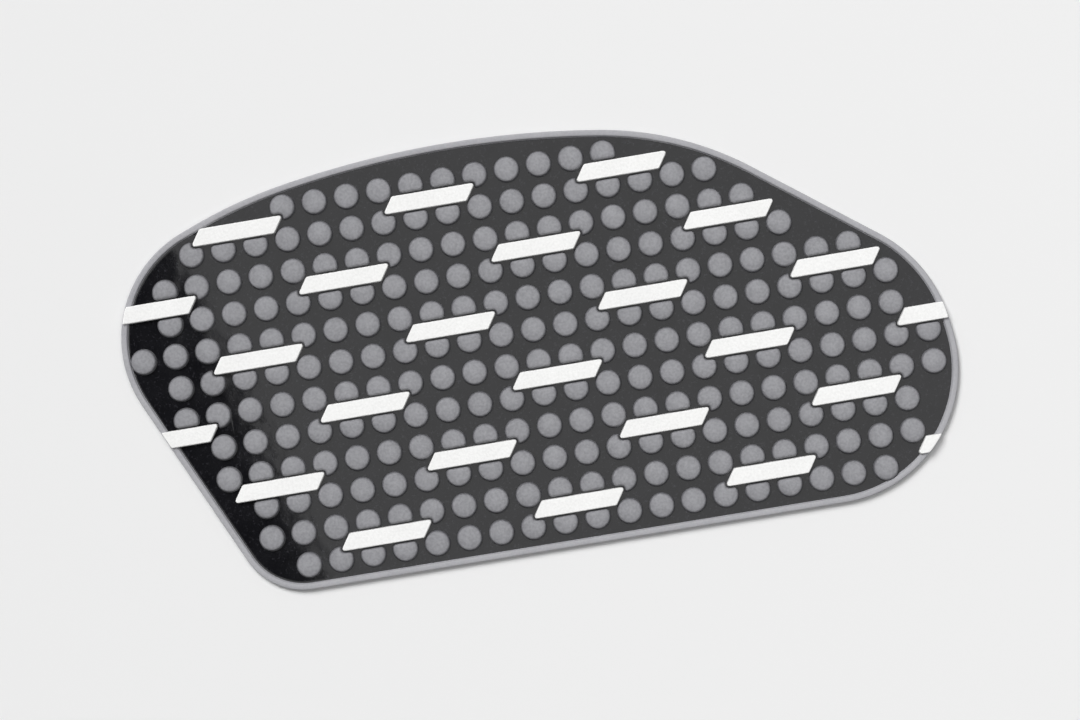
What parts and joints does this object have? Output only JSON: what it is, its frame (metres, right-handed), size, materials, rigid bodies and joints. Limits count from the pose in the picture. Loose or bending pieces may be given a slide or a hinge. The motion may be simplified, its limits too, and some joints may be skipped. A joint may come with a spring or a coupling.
{
  "type": "motorcycle tank pad",
  "caption": "Thin moulded rubber knee grip for the side of a motorcycle tank, with a raised rim, a square grid of low round studs and staggered slanted bars.",
  "frame": {"origin": "middle of the outline's box, on the flat back", "axes": "+X along the rows of studs, towards the end with the wide round; +Y across the rows, towards the crowned long edge; +Z out of the studded face"},
  "size_m": [0.2922, 0.1494, 0.0035],
  "materials": {
    "moulded_rubber": "dark grey moulded rubber with a satin floor",
    "stud_grey": "mid grey, on the crowns of the studs and the rim",
    "bar_white": "white, on the tops of the bars"
  },
  "bodies": {
    "root": {"tank_pad": "moulded_rubber"}
  },
  "joints": []
}
